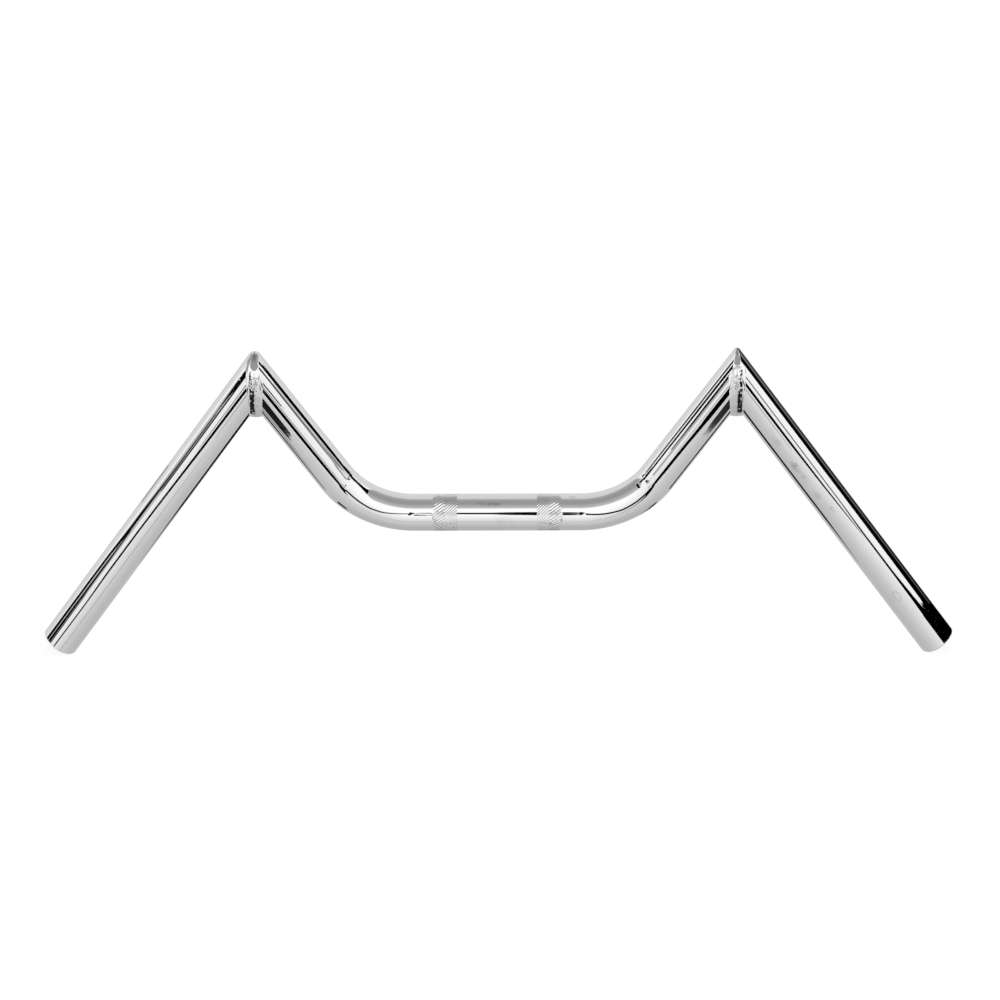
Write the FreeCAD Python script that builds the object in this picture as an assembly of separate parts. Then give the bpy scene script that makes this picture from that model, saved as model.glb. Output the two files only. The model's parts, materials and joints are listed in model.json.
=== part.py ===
import FreeCAD
import Part
import math
import os

from FreeCAD import Vector

# Steel tube, the same stock for all three pieces
tube_diameter = 25.4
tube_wall = 2.4
outer_end_round = 0.8
inner_end_round = 0.4

# Run of the bar, in one upright plane: clamp section, bend, leg, peak and grip
clamp_length = 113.0
bend_radius = 63.5
slope_angle = 57.0
leg_straight = 97.5
grip_length = 260.0

# Knurled bands rolled into the clamp section, one each side of the middle
knurl_start = 27.4
knurl_width = 17.4
knurl_depth = 0.12

# Weld bead round each mitre: angles run from the tip (0) to the crotch (180)
ground_arc = 44.0
crown_arc = 56.0
lump_arc = 88.0
fillet_arc = 108.0
flare_arc = 125.0
tip_half_width = 0.35
side_half_width = 3.6
crotch_half_width = 4.7
ground_crown = 0.08
bead_crown = 1.5
fillet_crown = 0.6
shoulder_out = 0.6
shoulder_rise = 0.75
toe_lift = 0.12
root_share = 0.85
groove_clearance = 1.0
bead_sections = 36

radius = tube_diameter / 2
bore_radius = radius - tube_wall
slope = math.radians(slope_angle)
mitre_reach = radius * math.tan(slope)
mitre_height = radius / math.cos(slope)
root_radius = radius - root_share * tube_wall
bend_start = Vector(clamp_length / 2, 0, 0)
bend_centre = bend_start + Vector(0, 0, bend_radius)
bend_end = bend_centre + Vector(math.sin(slope), 0, -math.cos(slope)) * bend_radius
uphill = Vector(math.cos(slope), 0, math.sin(slope))
peak = bend_end + uphill * leg_straight
up_turn = Vector(0, -1, 0)


def ring_face(centre):
    """The tube's section, square to X."""
    circles = [Part.makeCircle(r, centre, Vector(1, 0, 0)) for r in (radius, bore_radius)]
    return Part.makeFace([Part.Wire(circle) for circle in circles], "Part::FaceMakerBullseye")


def mirrored(shape):
    return shape.mirror(Vector(0, 0, 0), Vector(1, 0, 0))


def beyond_mitre(sign):
    """A block that covers everything on one side of the right-hand mitre plane."""
    depth = 2 * (leg_straight + grip_length + mitre_reach)
    corner = Vector(peak.x if sign > 0 else peak.x - depth, -depth / 2, peak.z - depth / 2)
    return Part.makeBox(depth, depth, depth, corner)


def knurl_band():
    """The shallow ring that the knurling tool works down, square to X."""
    start = Vector(knurl_start, 0, 0)
    along = Vector(1, 0, 0)
    outside = Part.makeCylinder(radius + tube_wall, knurl_width, start, along)
    core = Part.makeCylinder(radius - knurl_depth, knurl_width, start, along)
    return outside.cut(core)


def centre_tube():
    """Clamp section, two bends and two legs, bent from one length of tube."""
    clamp = ring_face(bend_start * -1).extrude(Vector(clamp_length, 0, 0))
    bend = ring_face(bend_start).revolve(bend_centre, up_turn, slope_angle)
    leg_section = ring_face(bend_start)
    leg_section.rotate(bend_centre, up_turn, slope_angle)
    leg = leg_section.extrude(uphill * (leg_straight + mitre_reach))
    leg = leg.cut(beyond_mitre(1))
    pieces = [bend, leg, mirrored(bend), mirrored(leg)]
    tube = clamp.fuse(pieces).removeSplitter()
    return tube.cut([knurl_band(), mirrored(knurl_band())])


def wall_profile(length):
    """Half section of a grip tube along X, with its free end's two edges rounded."""
    start = -mitre_reach
    outer_arc = Vector(math.sin(math.pi / 4), 0, math.cos(math.pi / 4)) * outer_end_round
    inner_arc = Vector(math.sin(math.pi / 4), 0, -math.cos(math.pi / 4)) * inner_end_round
    outer_centre = Vector(length - outer_end_round, 0, radius - outer_end_round)
    inner_centre = Vector(length - inner_end_round, 0, bore_radius + inner_end_round)
    outer_top = outer_centre + Vector(0, 0, outer_end_round)
    outer_face = outer_centre + Vector(outer_end_round, 0, 0)
    inner_face = inner_centre + Vector(inner_end_round, 0, 0)
    inner_low = inner_centre - Vector(0, 0, inner_end_round)
    outer_start = Vector(start, 0, radius)
    inner_start = Vector(start, 0, bore_radius)
    edges = [
        Part.LineSegment(outer_start, outer_top).toShape(),
        Part.Arc(outer_top, outer_centre + outer_arc, outer_face).toShape(),
        Part.LineSegment(outer_face, inner_face).toShape(),
        Part.Arc(inner_face, inner_centre + inner_arc, inner_low).toShape(),
        Part.LineSegment(inner_low, inner_start).toShape(),
        Part.LineSegment(inner_start, outer_start).toShape(),
    ]
    return Part.Face(Part.Wire(edges))


def right_grip_tube():
    """Straight tube from the mitre at the peak down to the rounded free end."""
    tube = wall_profile(grip_length).revolve(Vector(0, 0, 0), Vector(1, 0, 0), 360)
    tube.rotate(Vector(0, 0, 0), up_turn, -slope_angle)
    tube.translate(peak)
    return tube.cut(beyond_mitre(-1))


def ease(angle, start, end):
    """Smooth step from 0 to 1 between two angles."""
    share = min(max((angle - start) / (end - start), 0.0), 1.0)
    return share * share * (3 - 2 * share)


def half_width(from_tip):
    """Half width of the bead: narrow at the tip, even at the sides, flared at the crotch."""
    width = tip_half_width + (side_half_width - tip_half_width) * min(from_tip / crown_arc, 1.0)
    return width + (crotch_half_width - side_half_width) * ease(from_tip, flare_arc, 180)


def crown_height(from_tip):
    """Height of the bead over its toes: ground flush, then full, then a low fillet."""
    full = bead_crown * ease(from_tip, ground_arc, crown_arc)
    lost = (bead_crown - fillet_crown) * ease(from_tip, lump_arc, fillet_arc)
    return ground_crown + full - lost


def bead_corners(turn):
    """Corners of the bead and its groove at a turn: toes on the tubes, root part way through the wall."""
    angle = math.radians(turn)
    across = math.sin(angle)
    up = math.cos(angle)
    width = half_width(abs(turn))
    drop = width * math.tan(slope)
    chord = peak + Vector(0, radius * across, mitre_height * up - drop)
    normal = Vector(0, across / radius, up / mitre_height).normalize()
    crown = toe_lift + crown_height(abs(turn))
    shoulder = toe_lift + shoulder_rise * crown_height(abs(turn))
    ridge = max(drop * normal.z, 0) + groove_clearance

    def at(share, height):
        return chord + Vector(width * share, 0, 0) + normal * height

    return {
        "left": at(-1, toe_lift),
        "left_shoulder": at(-shoulder_out, shoulder),
        "crown": at(0, crown),
        "right_shoulder": at(shoulder_out, shoulder),
        "right": at(1, toe_lift),
        "left_ridge": at(-1, ridge),
        "right_ridge": at(1, ridge),
        "root": peak + Vector(0, root_radius * across, root_radius / math.cos(slope) * up),
    }


def bead_section(turn):
    """Outline of the bead: a crown of straight facets between its toes, and a V root."""
    p = bead_corners(turn)
    order = ["left", "left_shoulder", "crown", "right_shoulder", "right", "root", "left"]
    return Part.makePolygon([p[corner] for corner in order])


def groove_section(turn):
    """The V prepared for the bead, open outwards past the sharp edge of the bare mitre."""
    p = bead_corners(turn)
    order = ["left", "left_ridge", "right_ridge", "right", "root", "left"]
    return Part.makePolygon([p[corner] for corner in order])


def ring(section):
    """Closed loft of a section all round the right-hand mitre."""
    step = 360 / bead_sections
    sections = [section(180 - step * i) for i in range(bead_sections)]
    loft = Part.makeLoft(sections, True, True, True)
    return Part.makeSolid(Part.makeShell(loft.Faces))


bead = ring(bead_section)
groove = ring(groove_section)
grip = right_grip_tube().cut(groove)
parts = {
    "centre_tube": centre_tube().cut([groove, mirrored(groove)]),
    "left_grip_tube": mirrored(grip),
    "right_grip_tube": grip,
    "left_weld": mirrored(bead),
    "right_weld": bead,
}

os.makedirs("parts", exist_ok=True)
for name, shape in parts.items():
    box = shape.BoundBox
    print(name, len(shape.Solids), shape.isValid(), round(shape.Volume, 2), len(shape.Faces))
    print("  ", [round(v, 2) for v in (box.XMin, box.YMin, box.ZMin, box.XMax, box.YMax, box.ZMax)])
    shape.exportStep(f"parts/{name}.step")
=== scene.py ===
import json
import math

import bmesh
import bpy
from mathutils import Matrix, Vector, noise


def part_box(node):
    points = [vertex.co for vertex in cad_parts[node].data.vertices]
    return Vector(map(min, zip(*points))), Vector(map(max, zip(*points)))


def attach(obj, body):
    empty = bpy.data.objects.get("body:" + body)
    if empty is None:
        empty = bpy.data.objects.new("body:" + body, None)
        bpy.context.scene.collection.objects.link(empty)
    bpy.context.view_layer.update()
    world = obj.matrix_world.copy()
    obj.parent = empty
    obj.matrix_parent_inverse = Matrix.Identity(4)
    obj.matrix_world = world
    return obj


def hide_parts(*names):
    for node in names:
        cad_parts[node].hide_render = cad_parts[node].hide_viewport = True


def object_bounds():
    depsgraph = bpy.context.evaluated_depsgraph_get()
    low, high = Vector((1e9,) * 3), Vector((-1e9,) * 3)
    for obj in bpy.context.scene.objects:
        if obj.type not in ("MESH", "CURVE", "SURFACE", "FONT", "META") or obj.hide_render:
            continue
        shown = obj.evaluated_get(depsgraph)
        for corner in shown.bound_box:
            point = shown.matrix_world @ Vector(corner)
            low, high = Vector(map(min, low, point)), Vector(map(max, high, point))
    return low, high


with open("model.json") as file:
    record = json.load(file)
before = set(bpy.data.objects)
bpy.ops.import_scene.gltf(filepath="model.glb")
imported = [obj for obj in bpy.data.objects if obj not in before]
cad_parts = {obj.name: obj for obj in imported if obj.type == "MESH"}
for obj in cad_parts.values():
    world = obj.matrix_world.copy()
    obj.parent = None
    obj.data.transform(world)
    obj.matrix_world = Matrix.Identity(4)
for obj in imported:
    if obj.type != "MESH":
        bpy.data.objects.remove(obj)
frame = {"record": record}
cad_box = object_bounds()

MM = 0.001
LEFT = -1
RIGHT = 1

# Sizes of the bar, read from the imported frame
mounts = {mount["name"]: mount for mount in frame["record"]["mounts"]}
RADIUS = mounts["riser_clamp"]["dims"]["r_mm"] * MM
CLAMP_HALF = mounts["riser_clamp"]["dims"]["length_mm"] * MM / 2
GRIP_END = Vector(mounts["right_grip_seat"]["pos_m"])
GRIP_AXIS = Vector(mounts["right_grip_seat"]["axis"]).normalized()
SLOPE = math.atan2(-GRIP_AXIS.z, GRIP_AXIS.x)
PEAK_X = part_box("centre_tube")[1].x
GRIP_LENGTH = (GRIP_END.x - PEAK_X) / GRIP_AXIS.x
PEAK = GRIP_END - GRIP_AXIS * GRIP_LENGTH
CORNER_X = PEAK.x - PEAK.z / math.tan(SLOPE)
BEND_RADIUS = (CORNER_X - CLAMP_HALF) / math.tan(SLOPE / 2)
BEND_RUN = CLAMP_HALF + BEND_RADIUS * SLOPE
BEND_END = Vector((
    CLAMP_HALF + BEND_RADIUS * math.sin(SLOPE),
    0,
    BEND_RADIUS * (1 - math.cos(SLOPE)),
))
UPHILL = Vector((math.cos(SLOPE), 0, math.sin(SLOPE)))
PEAK_RUN = BEND_RUN + (PEAK - BEND_END).length
MITRE_HEIGHT = RADIUS / math.cos(SLOPE)
FLOOR_Z = cad_box[0][2]

# Wall of the tube, and the rounds of its open ends
WALL = 2.4 * MM
BORE = RADIUS - WALL
OUTER_LIP = 0.8 * MM
INNER_LIP = 0.4 * MM

# Knurled bands: bold slanted teeth in the outer part of each, finer ones in the inner part
KNURL_START = 27.4 * MM
KNURL_WIDTH = 17.4 * MM
KNURL_END = KNURL_START + KNURL_WIDTH
FINE_SHARE = 0.49
KNURL_SPLIT = KNURL_START + FINE_SHARE * KNURL_WIDTH
KNURL_RUN_OUT = 3.0 * MM
BOLD_TEETH = 36
BOLD_LEAN = 0.72
BOLD_DEPTH = 0.55 * MM
FINE_TEETH = 39
FINE_LEAN = 1.0
FINE_DEPTH = 0.42 * MM
DEPTH_WANDER = 0.25
WANDER_SCALE = 2.2
WANDER_ALONG = 7

# Section of a tooth in shares of its width, and the turns in degrees over which its ramp changes sides
RAMP_SHARE = 0.74
FLANK_START = RAMP_SHARE - 0.10
FLANK_FULL = RAMP_SHARE + 0.02
FLANK_END = 0.92
FRONT_FLIP = (48, 64)
BACK_FLIP = (200, 220)

# Dirt and painted shade on the teeth's flanks, how much of it eases on the front of the bar, and the turns in
# degrees where that easing sets in and fades
BOLD_DIRT_AND_SHADE = 1.0
FINE_DIRT_AND_SHADE = 0.75
CROSSED_DIRT_AND_SHADE = 0.6
BOLD_FRONT_EASE = 0.60
FINE_FRONT_EASE = 0.55
FRONT_EASE_SETS_IN = (36, 48)
FRONT_EASE_FADES = (72, 90)
FRONT_EASE_FADED = 0.3

# Weld bead, with angles in degrees from the tip (0) to the crotch (180)
TIP_HALF_WIDTHS = {LEFT: 2.7 * MM, RIGHT: 0.4 * MM}
SIDE_HALF_WIDTH = 3.6 * MM
CROTCH_HALF_WIDTH = 4.7 * MM
WIDTH_GROWTH = 0.8
GROUND_ARCS = {LEFT: 44, RIGHT: 37}
CROWN_RISE = 12
LUMP_ARC = 88
FILLET_ARC = 108
FLARE_ARC = 125
GROUND_CROWNS = {LEFT: 0.75 * MM, RIGHT: 0.10 * MM}
BEAD_CROWN = 1.5 * MM
FILLET_CROWN = 0.6 * MM
ARCH_POWER = 2.4
ROOT_DEPTH = 0.5 * WALL
TUCK_SHARE = 0.92

# Unevenness of the bead: heights, shares and noise scales
TOE_SINK = 0.03 * MM
TOE_WANDER = 0.06
TOE_ROUND = 6
TOE_SEED = 3
LUMP_HEIGHT = 0.3 * MM
LUMP_LOSS = 0.85
LUMP_FADE = 4
LUMP_ROUND = 9
LUMP_ACROSS = 2.4
LUMP_SEED = 11
COARSE_LUMPS = 0.65
FINE_LUMPS = 0.5
FINE_LUMP_SCALE = 2.3

# Satin leaf that the grinder left at the tip
LEAF_HALF_WIDTH = 2.7 * MM
LEAF_POINTS = {LEFT: 1.4, RIGHT: 2.0}
LEAF_TIP = 0.08
LEAF_WIDEST = 0.75
LEAF_PAST = 2
LEAF_SOFT = 0.15 * MM

# Painted shade by the bead's outward toe, for the dark reflection there: angles from the tip, and shares of
# the half width
TOE_SHADE_START = 76
TOE_SHADE_RISE = 8
TOE_SHADE_END = 146
TOE_SHADE_FALL = 6
TOE_SHADE_STRIP = (-0.05, 0.25)
TOE_SHADE_EDGE = (0.3, 0.6)
TOE_SHADE_EDGE_STRENGTH = 0.85

# Weld spatter
SPATTER_RADIUS = 0.6 * MM
SPATTER_SINK = 0.2 * MM

# Mesh fineness: points round a ring, and steps along each stretch
SEGMENTS = 144
KNURL_SEGMENTS = 3 * SEGMENTS
BOLD_RINGS = 30
FINE_RINGS = 43
BEAD_SEGMENTS = 360
BEAD_STEPS = 22
MIDDLE_STEPS = 5
CLAMP_STEPS = 3
BEND_STEPS = 48
LEG_STEPS = 6
MITRE_STEPS = 10
GRIP_STEPS = 8
OUTER_LIP_STEPS = 6
INNER_LIP_STEPS = 4
BORE_BEND_STEPS = 20
BORE_GRIP_STEPS = 6
BORE_MITRE_STEPS = 4
DROP_SEGMENTS = 16
DROP_RINGS = 10

# Where rings begin to lean to the mitre, how near they stand to an edge, and which edges stay sharp
MITRE_ZONE = 3.2 * RADIUS
MITRE_APPROACH = 3.3 * RADIUS
EDGE_GAP = 0.3 * MM
KNURL_STEP = 0.05 * MM
SPLIT_STEP = 0.02 * MM
EDGE_ANGLE = 60
TOOTH_EDGE_ANGLE = 45

# Camera, at the photograph's viewing angle
CAMERA_AIM = Vector((2.0, 0, 10.0)) * MM
CAMERA_DISTANCE = 4.5
CAMERA_AZIMUTH = math.radians(0.67)
CAMERA_ELEVATION = math.radians(34)
CAMERA_ROLL = math.radians(-0.52)
CAMERA_LENS = 236.6
CAMERA_SENSOR = 36


def even(start, end, count):
    """Evenly spaced values from start to end, both included."""
    return [start + (end - start) * i / count for i in range(count + 1)]


def ease(value, start, end):
    """Smooth step from 0 to 1 between two values."""
    share = min(max((value - start) / (end - start), 0.0), 1.0)
    return share * share * (3 - 2 * share)


def turns(count):
    """Angles round a tube: 0 at the top of its plane, a quarter turn at the front."""
    return [2 * math.pi * i / count for i in range(count)]


def add_object(name, data):
    """A new object in the scene."""
    made = bpy.data.objects.new(name, data)
    bpy.context.scene.collection.objects.link(made)
    return made


# Centre lines of the tubes

def to_side(run, place, along):
    """A place and heading on the right, carried over to the left where the run is negative."""
    if run >= 0:
        return place, along
    return Vector((-place.x, 0, place.z)), Vector((along.x, 0, -along.z))


def leg_line(run):
    """Place and heading of a leg's straight axis, carried on past its bend."""
    return to_side(run, BEND_END + UPHILL * (abs(run) - BEND_RUN), UPHILL.copy())


def centre_line(run):
    """Place and heading of the centre tube at a run from its middle, positive to the right."""
    reach = abs(run)
    if reach > BEND_RUN:
        return leg_line(run)
    heading = max(reach - CLAMP_HALF, 0) / BEND_RADIUS
    out = min(reach, CLAMP_HALF) + BEND_RADIUS * math.sin(heading)
    place = Vector((out, 0, BEND_RADIUS * (1 - math.cos(heading))))
    return to_side(run, place, Vector((math.cos(heading), 0, math.sin(heading))))


def right_grip_line(run):
    """Place and heading of the right grip at a run from the peak."""
    return PEAK + GRIP_AXIS * run, GRIP_AXIS.copy()


def left_grip_line(run):
    """Place and heading of the left grip, the right one's mirror image."""
    place, along = right_grip_line(run)
    return Vector((-place.x, 0, place.z)), Vector((-along.x, 0, along.z))


def tube_point(line, run, turn, radius):
    """A point on a tube: its run may differ from turn to turn, as at a mitre."""
    place, along = line(run)
    up = Vector((-along.z, 0, along.x))
    if up.z < 0:
        up = -up
    return place + (up * math.cos(turn) - Vector((0, math.sin(turn), 0))) * radius


# Meshes from closed rings of points

def join_rings(mesh, first, second, material):
    """Faces between two rings, whose counts of points are equal or a multiple."""
    if len(first) < len(second):
        first, second = second, first
    ratio = len(first) // len(second)
    half = ratio // 2
    for i, corner in enumerate(second):
        fine = [first[(i * ratio + k) % len(first)] for k in range(ratio + 1)]
        after = second[(i + 1) % len(second)]
        if ratio == 1:
            mesh.faces.new((corner, fine[0], fine[1], after)).material_index = material
            continue
        for k in range(ratio):
            end = corner if k < half else after
            mesh.faces.new((end, fine[k], fine[k + 1])).material_index = material
        mesh.faces.new((corner, fine[half], after)).material_index = material


def add_drop(mesh, spot):
    """A round drop of spatter, sunk part way into the tube."""
    bmesh.ops.create_uvsphere(
        mesh,
        u_segments=DROP_SEGMENTS,
        v_segments=DROP_RINGS,
        radius=SPATTER_RADIUS,
        matrix=Matrix.Translation(spot),
    )


def ring_object(name, rings, materials, inner_from=None, sharp=EDGE_ANGLE, drops=(), marks=None):
    """A closed skin over rings of points, the last ring joined to the first, with round drops on it."""
    mesh = bmesh.new()
    loops = [[mesh.verts.new(point) for point in ring] for ring in rings]
    for i, loop in enumerate(loops):
        inner = inner_from is not None and inner_from <= i < len(loops) - 1
        join_rings(mesh, loop, loops[(i + 1) % len(loops)], 1 if inner else 0)
    for spot in drops:
        add_drop(mesh, spot)
    bmesh.ops.recalc_face_normals(mesh, faces=mesh.faces)
    data = bpy.data.meshes.new(name)
    mesh.to_mesh(data)
    mesh.free()
    data.polygons.foreach_set("use_smooth", [True] * len(data.polygons))
    data.set_sharp_from_angle(angle=math.radians(sharp))
    for material in materials:
        data.materials.append(material)
    for mark, values in (marks or {}).items():
        padded = values + [0.0] * (len(data.vertices) - len(values))
        data.attributes.new(mark, "FLOAT", "POINT").data.foreach_set("value", padded)
    return add_object(name, data)


# The knurl

def ramp(phase):
    """Depth share across a rolled tooth: a long ramp down, then a short flank back up."""
    step = phase % 1.0
    return step / RAMP_SHARE if step < RAMP_SHARE else (1 - step) / (1 - RAMP_SHARE)


def tooth(phase, turn):
    """Depth share of a tooth whose ramp faces the front, from above and from below."""
    below = ease(math.degrees(turn), *FRONT_FLIP) * (1 - ease(math.degrees(turn), *BACK_FLIP))
    return ramp(phase) * (1 - below) + ramp(-phase) * below


def flank(phase):
    """1 on a tooth's short flank, where dirt and painted shade darken it, and 0 on its ramp."""
    step = phase % 1.0
    return ease(step, FLANK_START, FLANK_FULL) * (1 - ease(step, FLANK_END, 1.0))


def knurl_phases(x, turn):
    """Phases of the bold teeth, the fine ones and those that cross them; a tooth is 1 wide."""
    arc = turn * RADIUS
    girth = 2 * math.pi * RADIUS
    bold = BOLD_TEETH * (arc + x * BOLD_LEAN) / girth
    fine = FINE_TEETH * (arc + x * FINE_LEAN) / girth
    crossed = FINE_TEETH * (arc - x * FINE_LEAN) / girth
    return bold, fine, crossed


def knurl_wander(x, turn):
    """Slow unevenness round and along the bar, between -1 and 1."""
    spot = Vector((math.cos(turn), math.sin(turn), WANDER_ALONG * x / KNURL_END))
    return noise.noise(spot * WANDER_SCALE)


def run_out(x, turn):
    """1 on a band, falling to 0 at its outer end over an uneven stretch."""
    return ease(KNURL_END - abs(x), 0, KNURL_RUN_OUT * (1 + knurl_wander(x, turn)))


def knurl_depth(x, turn):
    """How far the teeth are pressed in: bold ones outside, fine ones inside."""
    bold, fine, _ = knurl_phases(x, turn)
    uneven = 1 + DEPTH_WANDER * knurl_wander(x, turn)
    if abs(x) >= KNURL_SPLIT:
        return BOLD_DEPTH * tooth(bold, turn) * run_out(x, turn) * uneven
    return FINE_DEPTH * tooth(fine, turn) * uneven


def front_ease(turn):
    """From 0 to 1 where the painted darkening of the knurl eases, on the front of the bar."""
    angle = math.degrees(turn)
    if angle >= 180:
        return 0.0
    return ease(angle, *FRONT_EASE_SETS_IN) * (1 - FRONT_EASE_FADED * ease(angle, *FRONT_EASE_FADES))


def knurl_dirt_and_shade(x, turn):
    """How dark the knurl's dirt and painted shade are: most on the top of the bar, little where it faces the
    front.
    """
    out = abs(x)
    if not KNURL_START <= out <= KNURL_END:
        return 0.0
    bold, fine, crossed = knurl_phases(x, turn)
    # Dirt and painted shade on the flanks, lighter where the bar faces the front
    if out >= KNURL_SPLIT:
        return flank(bold) * run_out(x, turn) * (BOLD_DIRT_AND_SHADE - BOLD_FRONT_EASE * front_ease(turn))
    hatch = max(flank(fine), CROSSED_DIRT_AND_SHADE * flank(crossed))
    return hatch * (FINE_DIRT_AND_SHADE - FINE_FRONT_EASE * front_ease(turn))


def dirt_and_shade_marks(rings, count):
    """Dirt and painted shade in the knurl at each point of the first rings, and none on the others."""
    marks = []
    for i, ring in enumerate(rings):
        angles = turns(len(ring))
        marks += [knurl_dirt_and_shade(point.x, turn) if i < count else 0.0 for point, turn in zip(ring, angles)]
    return {"dirt_and_shade": marks}


# The tubes

def end_run(turn, offset, radius):
    """Run along the leg at which a tube of that radius comes within an offset of the mitre."""
    return PEAK_RUN + (radius * math.cos(turn) * math.sin(SLOPE) - offset) / math.cos(SLOPE)


def tucked(side):
    """How far from the mitre a tube's outside stops at each turn, under the bead."""
    return lambda turn: TUCK_SHARE * half_width(side, math.degrees(turn))


def at_mitre(turn):
    """No offset: the bore runs right up to the mitre."""
    return 0


def leg_rings(side, radius, offset, steps):
    """Rings up a leg, the last of them along the mitre."""
    start = PEAK_RUN - MITRE_ZONE
    rings = []
    for share in even(0, 1, steps):
        ring = []
        for turn in turns(SEGMENTS):
            run = start + (end_run(turn, offset(turn), radius) - start) * share
            ring.append(tube_point(centre_line, side * run, turn, radius))
        rings.append(ring)
    return rings


def centre_rings():
    """Outside from left to right, then the bore back from right to left."""

    def plain(run, radius=RADIUS):
        return [tube_point(centre_line, run, turn, radius) for turn in turns(SEGMENTS)]

    def knurled(run):
        points = []
        for turn in turns(KNURL_SEGMENTS):
            radius = RADIUS - knurl_depth(run, turn)
            points.append(tube_point(centre_line, run, turn, radius))
        return points

    middle_runs = even(0, KNURL_START - EDGE_GAP, MIDDLE_STEPS)[1:] + [KNURL_START - KNURL_STEP]
    knurl_runs = even(KNURL_START, KNURL_SPLIT, FINE_RINGS)
    knurl_runs += even(KNURL_SPLIT + SPLIT_STEP, KNURL_END, BOLD_RINGS)
    outer_runs = [KNURL_END + KNURL_STEP, KNURL_END + EDGE_GAP]
    outer_runs += even(KNURL_END, CLAMP_HALF - EDGE_GAP, CLAMP_STEPS)[1:]
    outer_runs += even(CLAMP_HALF, BEND_RUN, BEND_STEPS)
    outer_runs += even(BEND_RUN + EDGE_GAP, PEAK_RUN - MITRE_APPROACH, LEG_STEPS)

    def half(side):
        rings = [plain(side * run) for run in middle_runs]
        rings += [knurled(side * run) for run in knurl_runs]
        rings += [plain(side * run) for run in outer_runs]
        return rings + leg_rings(side, RADIUS, tucked(side), MITRE_STEPS)

    outside = half(LEFT)[::-1] + [plain(0)] + half(RIGHT)
    bore_bend = even(CLAMP_HALF, BEND_RUN, BORE_BEND_STEPS) + [PEAK_RUN - MITRE_APPROACH]
    bore_runs = [-run for run in bore_bend[::-1]] + bore_bend
    bore = leg_rings(LEFT, BORE, at_mitre, BORE_MITRE_STEPS)[::-1]
    bore += [plain(run, BORE) for run in bore_runs]
    bore += leg_rings(RIGHT, BORE, at_mitre, BORE_MITRE_STEPS)
    return outside + bore[::-1], len(outside)


def grip_rings(side, line):
    """Outside from the mitre to the rounded lip, then the bore back to the mitre."""

    def ring(run, radius):
        return [tube_point(line, run, turn, radius) for turn in turns(SEGMENTS)]

    def mitred(radius, offset, steps):
        rings = []
        for share in even(0, 1, steps):
            points = []
            for turn in turns(SEGMENTS):
                edge = PEAK_RUN - end_run(turn, offset(turn), radius)
                points.append(tube_point(line, edge + (MITRE_ZONE - edge) * share, turn, radius))
            rings.append(points)
        return rings

    outside = mitred(RADIUS, tucked(side), MITRE_STEPS)
    lip = GRIP_LENGTH - OUTER_LIP
    outside += [ring(run, RADIUS) for run in even(MITRE_ZONE, lip - EDGE_GAP, GRIP_STEPS)[1:] + [lip]]
    for turn in even(0, math.pi / 2, OUTER_LIP_STEPS)[1:]:
        run = GRIP_LENGTH - OUTER_LIP * (1 - math.sin(turn))
        outside.append(ring(run, RADIUS - OUTER_LIP * (1 - math.cos(turn))))
    for turn in even(0, math.pi / 2, INNER_LIP_STEPS):
        run = GRIP_LENGTH - INNER_LIP * (1 - math.cos(turn))
        outside.append(ring(run, BORE + INNER_LIP * (1 - math.sin(turn))))
    bore_runs = even(GRIP_LENGTH - INNER_LIP, MITRE_ZONE, BORE_GRIP_STEPS)[1:-1]
    bore = [ring(run, BORE) for run in bore_runs]
    bore += mitred(BORE, at_mitre, BORE_MITRE_STEPS)[::-1]
    return outside + bore, len(outside)


# Camera

def place_camera():
    """The scene's camera, and where it stands."""
    flat = math.cos(CAMERA_ELEVATION)
    back = Vector((
        math.sin(CAMERA_AZIMUTH) * flat,
        -math.cos(CAMERA_AZIMUTH) * flat,
        math.sin(CAMERA_ELEVATION),
    ))
    right = Vector((math.cos(CAMERA_AZIMUTH), math.sin(CAMERA_AZIMUTH), 0))
    up = back.cross(right)
    turned_right = right * math.cos(CAMERA_ROLL) + up * math.sin(CAMERA_ROLL)
    turned_up = up * math.cos(CAMERA_ROLL) - right * math.sin(CAMERA_ROLL)
    spot = CAMERA_AIM + back * CAMERA_DISTANCE
    data = bpy.data.cameras.new("camera")
    data.lens = CAMERA_LENS
    data.sensor_width = CAMERA_SENSOR
    camera = add_object("camera", data)
    axes = Matrix((turned_right, turned_up, back)).transposed()
    camera.matrix_world = Matrix.Translation(spot) @ axes.to_4x4()
    bpy.context.scene.camera = camera
    return spot


eye = place_camera()


def facing_normal(line, run, share):
    """A place on a tube's axis, and the normal that the eye sees at a share of its radius."""
    place, along = line(run)
    to_eye = (eye - place).normalized()
    facing = (to_eye - along * to_eye.dot(along)).normalized()
    rise = along.cross(facing)
    if rise.z < 0:
        rise = -rise
    return place, facing * math.sqrt(1 - share * share) + rise * share


def facing_point(line, run, share, radius):
    """The point that the eye sees at a share of a tube's radius."""
    place, normal = facing_normal(line, run, share)
    return place + normal * radius


# The welds

def angle_from_tip(angle):
    """Angle from the tip, 0 to 180, by the shorter way round."""
    return abs((angle + 180) % 360 - 180)


def half_width(side, angle):
    """Half width of the bead at an angle from the tip: narrow there, flared at the crotch."""
    from_tip = angle_from_tip(angle)
    tip = TIP_HALF_WIDTHS[side]
    grown = min(from_tip / (GROUND_ARCS[side] + CROWN_RISE), 1.0) ** WIDTH_GROWTH
    width = tip + (SIDE_HALF_WIDTH - tip) * grown
    return width + (CROTCH_HALF_WIDTH - SIDE_HALF_WIDTH) * ease(from_tip, FLARE_ARC, 180)


def raised(side, from_tip):
    """From 0 on the ground facet to 1 on the full bead."""
    return ease(from_tip, GROUND_ARCS[side], GROUND_ARCS[side] + CROWN_RISE)


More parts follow.
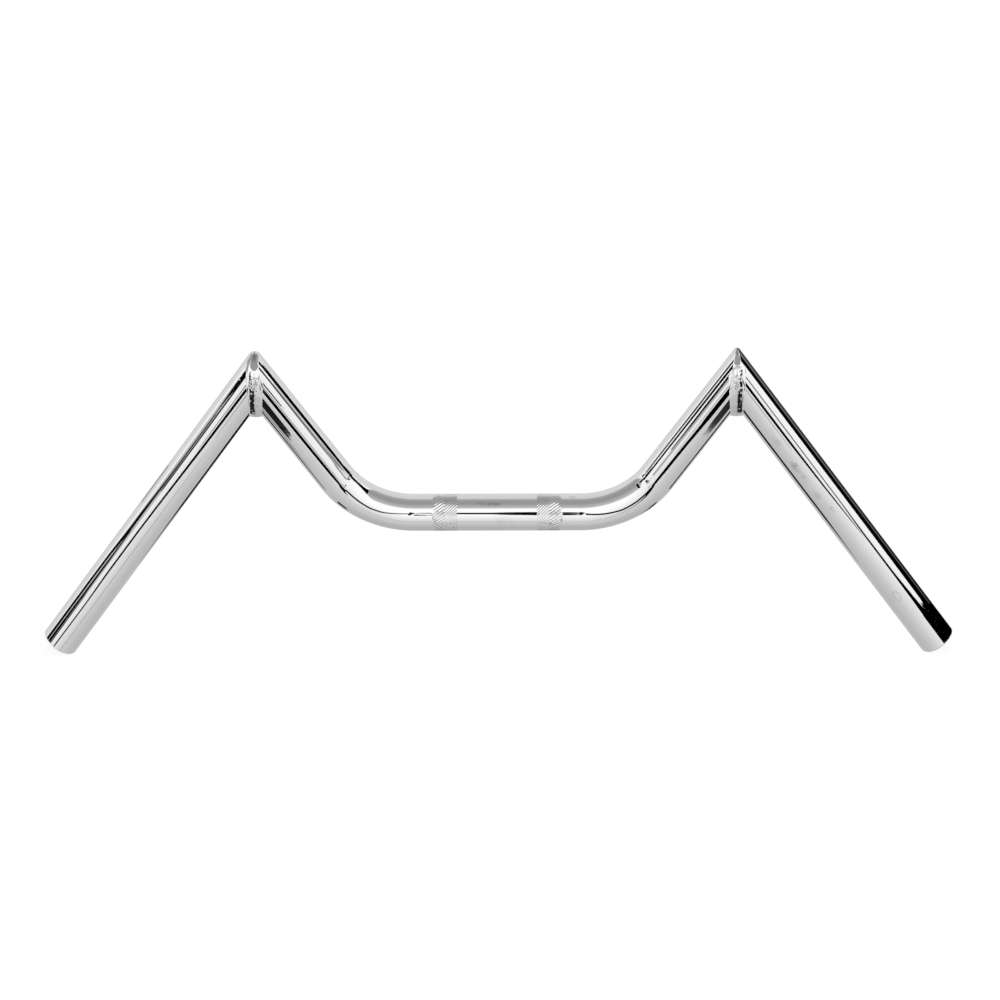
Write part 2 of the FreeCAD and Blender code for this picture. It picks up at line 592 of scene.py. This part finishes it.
def crown_height(side, from_tip):
    """Height of the bead over its toes: ground flush, then full, then a low fillet."""
    lost = (BEAD_CROWN - FILLET_CROWN) * ease(from_tip, LUMP_ARC, FILLET_ARC)
    ground = GROUND_CROWNS[side]
    return ground + (BEAD_CROWN - ground) * raised(side, from_tip) - lost


def lumps(side, angle, across, from_tip):
    """Uneven height of the bead: worked lumps at the sides, smooth fillet lower down."""
    around = math.radians(angle)
    spot = Vector((
        math.cos(around) * LUMP_ROUND,
        math.sin(around) * LUMP_ROUND,
        across * LUMP_ACROSS + LUMP_SEED * side,
    ))
    rough = raised(side, from_tip) * (1 - LUMP_LOSS * ease(from_tip, LUMP_ARC, FILLET_ARC))
    layers = COARSE_LUMPS * noise.noise(spot) + FINE_LUMPS * noise.noise(spot * FINE_LUMP_SCALE)
    return LUMP_HEIGHT * rough * layers


def leaf(side, off, from_tip):
    """Satin facet left by the grinder: pointed at the tip, round at its lower end."""
    end = GROUND_ARCS[side] + LEAF_PAST
    widest = LEAF_WIDEST * end
    if from_tip < widest:
        grown = (from_tip / widest) ** LEAF_POINTS[side]
        half = LEAF_HALF_WIDTH * (LEAF_TIP + (1 - LEAF_TIP) * grown)
    else:
        half = LEAF_HALF_WIDTH * math.sqrt(max(1 - ((from_tip - widest) / (end - widest)) ** 2, 0))
    return 1 - ease(abs(off), half - LEAF_SOFT, half + LEAF_SOFT)


def toe_shade(side, across, from_tip):
    """Painted shade: a dark strip along the bead's outward toe, for the dark reflection there, strongest
    below the lumps.
    """
    outward = across * side
    begun = ease(from_tip, TOE_SHADE_START, TOE_SHADE_START + TOE_SHADE_RISE)
    strip = ease(outward, *TOE_SHADE_STRIP) * begun
    strip *= 1 - ease(from_tip, TOE_SHADE_END - TOE_SHADE_FALL, TOE_SHADE_END)
    edge = TOE_SHADE_EDGE_STRENGTH * ease(outward, *TOE_SHADE_EDGE) * raised(side, from_tip)
    return max(strip, edge * (1 - begun))


def bead_ring(side, angle):
    """One section of the bead, arched between its toes with a root inside the walls, and its marks."""
    from_tip = angle_from_tip(angle)
    turn = math.radians(angle)
    wander = noise.noise(Vector((math.cos(turn) * TOE_ROUND, math.sin(turn) * TOE_ROUND, TOE_SEED * side)))
    width = half_width(side, angle) * (1 + TOE_WANDER * wander)
    normal = Vector((0, -math.sin(turn) / RADIUS, math.cos(turn) / MITRE_HEIGHT)).normalized()
    seat = Vector((0, -RADIUS * math.sin(turn), MITRE_HEIGHT * math.cos(turn) - width * math.tan(SLOPE)))
    seat += Vector((side * PEAK.x, 0, PEAK.z))
    points = []
    ground = []
    toe_shaded = []
    for across in even(-1, 1, BEAD_STEPS):
        height = crown_height(side, from_tip) * (1 - abs(across) ** ARCH_POWER) - TOE_SINK
        height += lumps(side, angle, across, from_tip) * (1 - across ** LUMP_FADE)
        points.append(seat + normal * height + Vector((width * across, 0, 0)))
        ground.append(leaf(side, width * across, from_tip))
        # Painted shade at the bead's outward toe
        toe_shaded.append(toe_shade(side, across, from_tip))
    points.append(seat - normal * ROOT_DEPTH)
    return points, ground + [0.0], toe_shaded + [0.0]


def weld_skin(side):
    """Rings of the bead, and how far each of their points is ground or carries painted shade at the toe."""
    sections = [bead_ring(side, 360 * i / BEAD_SEGMENTS) for i in range(BEAD_SEGMENTS)]
    rings = [points for points, _, _ in sections]
    marks = {
        "ground": [value for _, ground, _ in sections for value in ground],
        "toe_shade": [value for _, _, toe_shaded in sections for value in toe_shaded],
    }
    return rings, marks


# Weld spatter: tube, run in mm and share of the radius
SPATTER = {
    LEFT: (
        (left_grip_line, 0, 0.64), (left_grip_line, 3, 0.59), (left_grip_line, -9, 0.65),
        (centre_line, -227, 0.50), (centre_line, -208, -0.42),
    ),
    RIGHT: ((centre_line, 217, 0.40), (centre_line, 213, -0.24), (centre_line, 222, 0.55)),
}


def spatter_spots(side):
    """Centres of the drops round a weld, just under the skin of the tubes."""
    depth = RADIUS - SPATTER_SINK
    return [facing_point(line, run * MM, share, depth) for line, run, share in SPATTER[side]]


# Shader nodes

def add(tree, kind, inputs=(), **settings):
    """A node with its settings, and its inputs set to values or linked to outputs."""
    node = tree.nodes.new(kind)
    for key, value in settings.items():
        setattr(node, key, value)
    for socket, value in dict(inputs).items():
        if isinstance(value, bpy.types.NodeSocket):
            tree.links.new(value, node.inputs[socket])
        else:
            node.inputs[socket].default_value = value
    return node


def new_material(name):
    """An empty material and its tree of nodes."""
    material = bpy.data.materials.new(name)
    material.use_nodes = True
    tree = material.node_tree
    tree.nodes.clear()
    return material, tree


def spread(tree, value, low, high, to_low, to_high):
    """A value moved from one range to another, and held inside it."""
    node = add(tree, "ShaderNodeMapRange", {
        "Value": value, "From Min": low, "From Max": high, "To Min": to_low, "To Max": to_high,
    })
    return node.outputs["Result"]


def noise_value(tree, place, scale, detail=2):
    """Noise at a place, about 0 to 1."""
    node = add(tree, "ShaderNodeTexNoise", {"Vector": place, "Scale": scale, "Detail": detail})
    return node.outputs["Fac"]


def math_node(tree, operation, *values):
    """The result of one operation on values or outputs."""
    return add(tree, "ShaderNodeMath", dict(enumerate(values)), operation=operation).outputs[0]


def dot_product(tree, first, second):
    """The dot product of two vectors."""
    return add(tree, "ShaderNodeVectorMath", {0: first, 1: second}, operation="DOT_PRODUCT").outputs["Value"]


def mix(tree, factor, first, second):
    """A colour between two colours."""
    node = add(tree, "ShaderNodeMix", {"Factor": factor, "A": first, "B": second}, data_type="RGBA")
    return node.outputs["Result"]


def neutral(grey):
    """An opaque grey."""
    return (grey, grey, grey, 1)


def grey_ramp(tree, value, stops):
    """A ramp of greys: stops are (place from 0 to 1, grey)."""
    node = add(tree, "ShaderNodeValToRGB", {"Fac": value})
    elements = node.color_ramp.elements
    while len(elements) < len(stops):
        elements.new(0.5)
    for element, (place, grey) in zip(elements, stops):
        element.position = place
        element.color = neutral(grey)
    return node.outputs["Color"]


def object_place(tree):
    """Place in the piece's own coordinates."""
    return add(tree, "ShaderNodeTexCoord").outputs["Object"]


def mark_value(tree, name):
    """A mark made on the mesh's points."""
    return add(tree, "ShaderNodeAttribute", attribute_name=name).outputs["Fac"]


def finish_surface(tree, colour, roughness, bump=None):
    """Bare metal of a colour and roughness, with a bump where one is given."""
    inputs = {"Metallic": 1.0, "Base Color": colour, "Roughness": roughness}
    if bump is not None:
        inputs["Normal"] = bump.outputs["Normal"]
    shader = add(tree, "ShaderNodeBsdfPrincipled", inputs)
    add(tree, "ShaderNodeOutputMaterial", {"Surface": shader.outputs[0]})


# Scuffs on the plating

# Faint scuffs: tube, run in mm, share of the radius, half length in mm and darkening
SCUFFS = (
    (centre_line, -11, 0.46, 4.0, 0.30), (centre_line, -5, 0.44, 4.0, 0.45),
    (centre_line, 0, 0.43, 3.5, 0.45), (centre_line, 5, -0.45, 10.0, 0.10),
    (centre_line, 52, 0.80, 3.5, 0.40),
    (right_grip_line, 53, -0.45, 7.0, 0.18), (right_grip_line, 77, -0.47, 6.5, 0.60),
    (right_grip_line, 87, -0.42, 6.0, 0.25), (right_grip_line, 105, -0.45, 5.0, 0.30),
    (right_grip_line, 120, -0.25, 4.0, 0.30),
)
RING_SCUFF = (right_grip_line, 206, -0.32, 4.2, 0.50)
SCUFF_STRETCH = 2
SCUFF_CORE = 0.3
SCUFF_RING = 0.9 * MM
SCUFF_BREAKS = (0.35, 0.6)

# Noise for the finest grain, here and on the welds
GRAIN_SCALE = 900
GRAIN_DETAIL = 3


def scuff(tree, place, spot, ring=False):
    """How strongly one scuff, longer than it is wide, darkens the plating."""
    line, run, share, size, strength = spot
    centre = facing_point(line, run * MM, share, RADIUS)
    offset = add(tree, "ShaderNodeVectorMath", {0: place, 1: centre}, operation="SUBTRACT").outputs["Vector"]
    along = dot_product(tree, offset, line(run * MM)[1])
    wide = math_node(tree, "MULTIPLY", dot_product(tree, offset, offset), SCUFF_STRETCH ** 2)
    long = math_node(tree, "MULTIPLY", math_node(tree, "MULTIPLY", along, along), SCUFF_STRETCH ** 2 - 1)
    away = math_node(tree, "SQRT", math_node(tree, "MAXIMUM", math_node(tree, "SUBTRACT", wide, long), 0))
    grain = noise_value(tree, place, GRAIN_SCALE, GRAIN_DETAIL)
    broken = spread(tree, grain, *SCUFF_BREAKS, 0, strength)
    if ring:
        away = math_node(tree, "ABSOLUTE", math_node(tree, "SUBTRACT", away, size * MM))
        return math_node(tree, "MULTIPLY", broken, spread(tree, away, 0, SCUFF_RING, 1, 0))
    return math_node(tree, "MULTIPLY", broken, spread(tree, away, SCUFF_CORE * size * MM, size * MM, 1, 0))


# Materials

CLOUD_SCALE = 45
CLOUD_RANGE = (0.45, 0.75)
CLOUD_TONES = ((0.95, 0.95, 0.955, 1), (0.985, 0.985, 0.985, 1))
CHROME_ROUGHNESS = (0.015, 0.04)
# Dark tone of the scuffs, and of the dirt and painted shade in the knurl
DULL_AND_SHADE_TONE = neutral(0.06)
FROST = 0.05
FROST_EDGE = 0.4 * MM
WAVE_SCALE = 130
WAVE_STRENGTH = 0.012
WAVE_HEIGHT = 0.4 * MM


def chrome_tube():
    """Bright plating: faint clouds and scuffs, dirt and painted shade in the knurl, slight waves, a little
    frosted where it is knurled.
    """
    material, tree = new_material("chrome_tube")
    place = object_place(tree)
    x = add(tree, "ShaderNodeSeparateXYZ", {0: place}).outputs["X"]
    out = math_node(tree, "ABSOLUTE", x)
    middle = (KNURL_START + KNURL_END) / 2
    from_band = math_node(tree, "ABSOLUTE", math_node(tree, "SUBTRACT", out, middle))
    frost = spread(tree, from_band, KNURL_WIDTH / 2, KNURL_WIDTH / 2 + FROST_EDGE, FROST, 0)
    clouds = noise_value(tree, place, CLOUD_SCALE)
    roughness = math_node(tree, "ADD", spread(tree, clouds, *CLOUD_RANGE, *CHROME_ROUGHNESS), frost)
    dull_and_shade = scuff(tree, place, RING_SCUFF, True)
    for spot in SCUFFS:
        dull_and_shade = math_node(tree, "ADD", dull_and_shade, scuff(tree, place, spot))
    # Dirt and painted shade in the knurl's flanks darken the plating too
    dull_and_shade = math_node(tree, "MAXIMUM", dull_and_shade, mark_value(tree, "dirt_and_shade"))
    plate = mix(tree, dull_and_shade, mix(tree, clouds, *CLOUD_TONES), DULL_AND_SHADE_TONE)
    waves = noise_value(tree, place, WAVE_SCALE)
    bump = add(tree, "ShaderNodeBump", {
        "Height": waves, "Strength": WAVE_STRENGTH, "Distance": WAVE_HEIGHT,
    })
    finish_surface(tree, plate, roughness, bump)
    return material


WELD_TONE = neutral(0.96)
PIT_TONE = neutral(0.15)
GROUND_TONE = neutral(0.38)
# Black of the painted shade on the bead's outward toe
TOE_SHADE_TONE = neutral(0.02)
PIT_SCALE = 520
PIT_RANGE = (0.66, 0.72)
# Mottling of the painted toe shade, and the share at which it shows
TOE_SHADE_SCALE = 480
TOE_SHADE_DETAIL = 3
TOE_SHADE_GAP_RANGE = (0.38, 0.62)
TOE_SHADE_GAP = 0.85
TOE_SHADE_SHOWS = (0.12, 0.30)
GRAIN_RANGE = (0.3, 0.7)
GRAIN_STRENGTH = 0.18
GRAIN_HEIGHT = 0.2 * MM
WELD_ROUGHNESS = (0.08, 0.20)
GROUND_ROUGHNESS = 0.3


def chrome_weld():
    """Plating over weld metal: satin where it is ground, black painted shade along the outward toe."""
    material, tree = new_material("chrome_weld")
    place = object_place(tree)
    ground = mark_value(tree, "ground")
    toe_shaded = mark_value(tree, "toe_shade")
    grain = noise_value(tree, place, GRAIN_SCALE, GRAIN_DETAIL)
    pits = spread(tree, noise_value(tree, place, PIT_SCALE), *PIT_RANGE, 0, 1)
    # Painted shade along the outward toe, broken up by noise
    gaps = spread(tree, noise_value(tree, place, TOE_SHADE_SCALE, TOE_SHADE_DETAIL), *TOE_SHADE_GAP_RANGE, 0, TOE_SHADE_GAP)
    black = spread(tree, math_node(tree, "SUBTRACT", toe_shaded, gaps), *TOE_SHADE_SHOWS, 0, 1)
    plate = mix(tree, pits, WELD_TONE, PIT_TONE)
    satin = mix(tree, ground, plate, GROUND_TONE)
    smooth = spread(tree, grain, *GRAIN_RANGE, *WELD_ROUGHNESS)
    roughness = math_node(tree, "ADD", smooth, spread(tree, ground, 0, 1, 0, GROUND_ROUGHNESS))
    bump = add(tree, "ShaderNodeBump", {
        "Height": grain, "Strength": GRAIN_STRENGTH, "Distance": GRAIN_HEIGHT,
    })
    finish_surface(tree, mix(tree, black, satin, TOE_SHADE_TONE), roughness, bump)
    return material


BORE_SCALE = 160
BORE_DETAIL = 4
BORE_RANGE = (0.3, 0.7)
BORE_TONES = ((0.30, 0.29, 0.28, 1), (0.52, 0.51, 0.50, 1))
BORE_ROUGHNESS = (0.35, 0.55)


def raw_bore():
    """Inside of the tube: thin, dull plating over drawn steel."""
    material, tree = new_material("raw_bore")
    clouds = noise_value(tree, object_place(tree), BORE_SCALE, BORE_DETAIL)
    finish_surface(tree, mix(tree, clouds, *BORE_TONES), spread(tree, clouds, *BORE_RANGE, *BORE_ROUGHNESS))
    return material


# The bar

chrome = chrome_tube()
weld_finish = chrome_weld()
bore_finish = raw_bore()

rings, bore_start = centre_rings()
# Dirt and painted shade in the knurl, kept on the mesh's points
dirt_and_shade = dirt_and_shade_marks(rings, bore_start)
centre = ring_object(
    "centre_tube_skin", rings, [chrome, bore_finish], bore_start, TOOTH_EDGE_ANGLE, marks=dirt_and_shade,
)
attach(centre, "root")
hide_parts("centre_tube")

for side_name, side, line in (("left", LEFT, left_grip_line), ("right", RIGHT, right_grip_line)):
    rings, bore_start = grip_rings(side, line)
    grip = ring_object(side_name + "_grip_skin", rings, [chrome, bore_finish], bore_start)
    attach(grip, "root")
    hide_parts(side_name + "_grip_tube")

for side_name, side in (("left", LEFT), ("right", RIGHT)):
    rings, marks = weld_skin(side)
    drops = spatter_spots(side)
    bead = ring_object(side_name + "_weld_bead", rings, [weld_finish], drops=drops, marks=marks)
    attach(bead, "root")
    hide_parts(side_name + "_weld")


# Studio: world, floor, and flags: ribbons seen only in the chrome's reflections, which paint its dark and
# grey streaks

# Tones of the walls by elevation in degrees, and those of the ceiling by how far back they lie
FRONT_TONES = (
    (-90, 0.45), (-72, 0.46), (-60, 0.51), (-50, 0.55), (-36, 0.61), (-23, 0.71), (-13, 0.78), (0, 0.89),
    (10, 0.97), (20, 1.03), (90, 1.04),
)
BACK_TONES = ((-90, 0.45), (-60, 0.51), (-20, 0.63), (0, 0.70), (40, 0.65), (90, 0.62))
CEILING_TONES = ((-0.54, 0.55), (-0.36, 0.44), (-0.12, 0.33), (0.10, 0.30), (0.35, 0.34), (0.55, 0.43))

# Soft edges of the back wall and the ceiling, in parts of a unit direction
BACK_EDGE = (0.30, 0.50)
CEILING_FRONT = (-0.58, -0.52)
CEILING_BACK = (0.51, 0.61)
CEILING_FOOT = (-0.03, 0.03)
LEFT_CEILING_FOOT = 0.20
RIGHT_CEILING_FOOT = 0.54
FOOT_CHANGE = (-0.1, 0.1)

WHITE = neutral(1)
FLOOR_GLOW = 0.84
FLOOR_MATT = neutral(0.32)
FLOOR_HALF = 6.0


def by_elevation(tones):
    """Stops of a ramp that runs from straight down to straight up."""
    return [(0.5 + 0.5 * math.sin(math.radians(angle)), grey) for angle, grey in tones]


def studio_world():
    """White front, pale grey back, darker floor side, and a grey ceiling that is low at the left."""
    world = bpy.data.worlds.new("studio")
    bpy.context.scene.world = world
    world.use_nodes = True
    tree = world.node_tree
    tree.nodes.clear()
    direction = add(tree, "ShaderNodeTexCoord").outputs["Generated"]
    x, y, z = add(tree, "ShaderNodeSeparateXYZ", {0: direction}).outputs
    height = spread(tree, z, -1, 1, 0, 1)
    front = grey_ramp(tree, height, by_elevation(FRONT_TONES))
    back = grey_ramp(tree, height, by_elevation(BACK_TONES))
    walls = mix(tree, spread(tree, y, *BACK_EDGE, 0, 1), front, back)
    ceiling_stops = [(0.5 + 0.5 * behind, grey) for behind, grey in CEILING_TONES]
    ceiling = grey_ramp(tree, spread(tree, y, -1, 1, 0, 1), ceiling_stops)
    past_front = spread(tree, y, *CEILING_FRONT, 0, 1)
    before_back = spread(tree, y, *CEILING_BACK, 1, 0)
    foot = spread(tree, x, *FOOT_CHANGE, LEFT_CEILING_FOOT, RIGHT_CEILING_FOOT)
    over_foot = spread(tree, math_node(tree, "SUBTRACT", z, foot), *CEILING_FOOT, 0, 1)
    covered = math_node(tree, "MULTIPLY", math_node(tree, "MULTIPLY", past_front, before_back), over_foot)
    room = mix(tree, covered, walls, ceiling)
    camera_ray = add(tree, "ShaderNodeLightPath").outputs["Is Camera Ray"]
    shown = mix(tree, camera_ray, room, WHITE)
    light = add(tree, "ShaderNodeBackground", {"Color": shown, "Strength": 1.0})
    add(tree, "ShaderNodeOutputWorld", {"Surface": light.outputs[0]})


def floor():
    """Pale floor: mostly its own white, with a little diffuse that takes the bar's shadow."""
    material, tree = new_material("pale_floor")
    glow = add(tree, "ShaderNodeEmission", {"Color": WHITE, "Strength": FLOOR_GLOW})
    matt = add(tree, "ShaderNodeBsdfDiffuse", {"Color": FLOOR_MATT})
    both = add(tree, "ShaderNodeAddShader", {0: glow.outputs[0], 1: matt.outputs[0]})
    add(tree, "ShaderNodeOutputMaterial", {"Surface": both.outputs[0]})
    half = FLOOR_HALF
    corners = [(-half, -half), (half, -half), (half, half), (-half, half)]
    data = bpy.data.meshes.new("floor")
    data.from_pydata([(x, y, FLOOR_Z) for x, y in corners], [], [(0, 1, 2, 3)])
    data.materials.append(material)
    plane = add_object("floor", data)
    plane.visible_glossy = False
    plane.visible_diffuse = False


def painted_streak_finish():
    """Painted reflection: a black or grey glow seen only in the chrome; its tone is a value on the ribbon's
    points.
    """
    material, tree = new_material("painted_streak")
    glow = add(tree, "ShaderNodeEmission", {"Color": WHITE, "Strength": mark_value(tree, "grey")})
    add(tree, "ShaderNodeOutputMaterial", {"Surface": glow.outputs[0]})
    return material


# Flags: spacing of their points along the run in mm, rows across, and distance from the tube in mm
FLAG_STEP = 2
FLAG_ROWS = 3
FLAG_REACH = 3000
FLAG_REACHES = {
    "right_grip_end": 1500, "right_grip_line": 1500,
    "left_grip_shade": 3600, "right_grip_shade": 3600, "left_leg_shade": 3600,
}
# Glowing finish of the painted reflection streaks
painted_streak = painted_streak_finish()


def mirrored_spot(line, run, share, reach):
    """Where the eye sees to in the tube, at a share of its radius above the axis."""
    place, normal = facing_normal(line, run, share)
    spot = place + normal * RADIUS
    to_eye = (eye - spot).normalized()
    bounce = normal * (2 * normal.dot(to_eye)) - to_eye
    return spot + bounce * reach


def between(stations, run):
    """Upper share, lower share and grey at a run, from stations in order of run."""
    for before, after in zip(stations, stations[1:]):
        if before[0] <= run <= after[0]:
            share = (run - before[0]) / (after[0] - before[0])
            return [x + (y - x) * share for x, y in zip(before[1:], after[1:])]
    return stations[-1][1:]


def flag(name, line, reach, stations):
    """A ribbon held off a tube, seen only in reflections, so that the camera sees it as a painted streak
    along that tube.
    """
    start = stations[0][0]
    end = stations[-1][0]
    count = max(2, round((end - start) / FLAG_STEP))
    points = []
    greys = []
    for run in even(start, end, count):
        upper, lower, grey = between(stations, run)
        for share in even(upper, lower, FLAG_ROWS):
            points.append(mirrored_spot(line, run * MM, share, reach * MM))
            greys.append(grey)
    row = FLAG_ROWS + 1
    faces = []
    for i in range(count):
        for k in range(FLAG_ROWS):
            corner = i * row + k
            faces.append((corner, corner + 1, corner + row + 1, corner + row))
    data = bpy.data.meshes.new("flag_" + name)
    data.from_pydata(points, [], faces)
    data.attributes.new("grey", "FLOAT", "POINT").data.foreach_set("value", greys)
    data.materials.append(painted_streak)
    ribbon = add_object("flag_" + name, data)
    ribbon.visible_camera = False
    ribbon.visible_diffuse = False
    ribbon.visible_shadow = False


# Painted reflection streaks by tube: stations of run in mm, upper share, lower share and grey
CENTRE_FLAGS = {
    "left_leg_black": (
        (-225, 0.75, 0.65, 0), (-140, 0.74, 0.645, 0), (-122, 0.715, 0.615, 0), (-112, 0.68, 0.56, 0),
        (-105, 0.64, 0.50, 0), (-100, 0.60, 0.42, 0), (-97, 0.60, 0.34, 0),
    ),
    "left_leg_wedge": (
        (-150, 0.58, 0.55, 0.2), (-140, 0.59, 0.50, 0.03), (-130, 0.585, 0.49, 0.03),
        (-124, 0.565, 0.53, 0.3),
    ),
    "left_leg_second": ((-236, 0.52, 0.43, 0), (-170, 0.485, 0.425, 0.08), (-130, 0.46, 0.41, 0.25)),
    "left_leg_shade": ((-214, 0.66, 0.40, 0.60), (-150, 0.66, 0.37, 0.40), (-120, 0.63, 0.38, 0.8)),
    "left_leg_short": ((-230, 0.15, 0.075, 0), (-193, 0.14, 0.085, 0)),
    "left_leg_hair": ((-222, 0.02, -0.02, 0.15), (-122, 0.03, -0.005, 0.2)),
    "left_bend": (
        (-114, -0.05, -0.14, 0), (-110, -0.065, -0.15, 0), (-100, -0.145, -0.23, 0),
        (-90, -0.215, -0.295, 0), (-80, -0.21, -0.28, 0.05), (-70, -0.12, -0.18, 0.15),
        (-58, -0.035, -0.085, 0.2),
    ),
    "clamp_line": (
        (-57, -0.03, -0.08, 0.2), (-44, -0.03, -0.08, 0.2), (-27, -0.03, -0.115, 0), (-2, -0.03, -0.12, 0),
        (5, -0.01, -0.155, 0), (27, 0.0, -0.175, 0), (45, -0.015, -0.18, 0), (58, -0.015, -0.18, 0),
    ),
    "right_bend": (
        (61, -0.075, -0.175, 0), (65, -0.13, -0.21, 0), (75, -0.215, -0.30, 0),
        (88, -0.285, -0.37, 0), (100, -0.235, -0.32, 0), (110, -0.155, -0.245, 0), (116, -0.095, -0.19, 0),
    ),
    "left_patch": ((-226, -0.38, -0.70, 0.01), (-177, -0.40, -0.70, 0.01), (-173, -0.46, -0.64, 0.02)),
    "left_patch_line": ((-212, -0.755, -0.79, 0.05), (-165, -0.755, -0.785, 0.1), (-140, -0.76, -0.78, 0.4)),
    "left_leg_edge": ((-214, -0.83, -0.905, 0), (-150, -0.84, -0.90, 0.05), (-121, -0.85, -0.90, 0.15)),
    "right_leg_top": ((121, 0.665, 0.60, 0.03), (238, 0.68, 0.59, 0.02)),
    "right_leg_upper": ((112, 0.53, 0.445, 0), (150, 0.53, 0.44, 0), (236, 0.55, 0.42, 0)),
    "right_leg_third": ((148, 0.34, 0.28, 0.15), (175, 0.35, 0.26, 0), (232, 0.375, 0.24, 0)),
    "right_leg_grey": ((124, 0.29, 0.17, 0.42), (226, 0.23, 0.16, 0.4)),
    "right_leg_hair": ((148, 0.03, -0.01, 0.5), (224, 0.02, -0.03, 0.3)),
    "right_bend_hook": ((108, 0.53, 0.30, 0), (110, 0.54, 0.22, 0)),
    "right_patch": ((176, -0.52, -0.68, 0.25), (184, -0.47, -0.77, 0.03), (224, -0.45, -0.80, 0.01)),
    "right_leg_edge": ((121, -0.875, -0.935, 0), (214, -0.865, -0.94, 0)),
}
LEG_FLAGS = {
    "left_main": (
        (-222, -0.05, -0.215, 0), (-160, -0.05, -0.195, 0), (-130, -0.04, -0.18, 0), (-121, -0.03, -0.15, 0),
        (-113, -0.03, -0.15, 0),
    ),
    "right_main": (
        (108, -0.045, -0.165, 0), (121, -0.045, -0.165, 0), (130, -0.04, -0.185, 0), (160, -0.065, -0.225, 0),
        (190, -0.12, -0.30, 0), (224, -0.16, -0.33, 0),
    ),
}
LEFT_GRIP_FLAGS = {
    "left_grip_wedge": ((-24, 0.65, 0.46, 0), (5, 0.63, 0.43, 0), (18, 0.61, 0.50, 0), (34, 0.58, 0.54, 0.1)),
    "left_grip_second": ((-6, 0.475, 0.40, 0), (60, 0.46, 0.385, 0.02), (108, 0.47, 0.395, 0.05)),
    "left_grip_mid": (
        (34, 0.565, 0.49, 0.05), (90, 0.565, 0.475, 0.05), (130, 0.625, 0.485, 0), (150, 0.635, 0.495, 0),
        (172, 0.695, 0.58, 0), (200, 0.71, 0.60, 0), (266, 0.71, 0.59, 0),
    ),
    "left_grip_low": ((148, 0.515, 0.455, 0.05), (178, 0.53, 0.435, 0), (266, 0.56, 0.43, 0)),
    "left_grip_third": ((210, 0.415, 0.37, 0.1), (266, 0.42, 0.355, 0)),
    "left_grip_shade": ((-6, 0.66, 0.38, 0.5), (130, 0.66, 0.38, 0.5), (266, 0.74, 0.36, 0.4)),
    "left_grip_line": (
        (-10, 0.045, -0.105, 0), (60, 0.09, -0.04, 0), (100, 0.14, 0.03, 0), (140, 0.185, 0.085, 0),
        (185, 0.19, 0.095, 0), (215, 0.14, 0.065, 0.02), (266, 0.16, 0.09, 0.02),
    ),
    "left_grip_hair": ((-6, 0.155, 0.11, 0.08), (62, 0.18, 0.14, 0.25)),
    "left_grip_low_hair": ((0, -0.185, -0.225, 0.1), (50, -0.19, -0.22, 0.35)),
    "left_grip_edge": ((12, -0.865, -0.975, 0), (110, -0.875, -0.965, 0), (168, -0.91, -0.95, 0.4)),
    "left_grip_top_hair": ((92, 0.95, 0.91, 0.15), (128, 0.95, 0.91, 0.15)),
}
RIGHT_GRIP_FLAGS = {
    "right_grip_black": (
        (-34, 0.82, 0.66, 0), (100, 0.825, 0.645, 0), (180, 0.83, 0.625, 0), (266, 0.84, 0.57, 0),
    ),
    "right_grip_end": (
        (219, 0.90, 0.60, 0), (224, 0.95, 0.30, 0), (230, 0.97, 0.17, 0), (266, 0.975, 0.15, 0),
    ),
    "right_grip_top": ((-34, 0.97, 0.89, 0.03), (266, 0.98, 0.88, 0)),
    "right_grip_shade": ((-34, 0.97, 0.66, 0.18), (266, 0.98, 0.62, 0.06)),
    "right_grip_line": (
        (-18, 0.375, 0.315, 0.15), (120, 0.365, 0.305, 0.1), (150, 0.335, 0.245, 0), (190, 0.34, 0.23, 0),
        (215, 0.395, 0.215, 0), (230, 0.45, 0.19, 0),
    ),
    "right_grip_low": (
        (-12, 0.175, 0.035, 0), (60, 0.17, 0.045, 0), (100, 0.18, 0.09, 0), (135, 0.215, 0.16, 0.03),
        (150, 0.22, 0.185, 0.25),
    ),
    "right_grip_hair": ((4, -0.05, -0.09, 0.2), (64, -0.045, -0.08, 0.4)),
    "right_grip_edge": ((12, -0.79, -0.885, 0), (130, -0.80, -0.885, 0), (170, -0.845, -0.885, 0.35)),
}

studio_world()
floor()
for line, flags in (
    (centre_line, CENTRE_FLAGS),
    (leg_line, LEG_FLAGS),
    (left_grip_line, LEFT_GRIP_FLAGS),
    (right_grip_line, RIGHT_GRIP_FLAGS),
):
    for name, stations in flags.items():
        flag(name, line, FLAG_REACHES.get(name, FLAG_REACH), stations)

bpy.context.scene.view_settings.view_transform = "Standard"
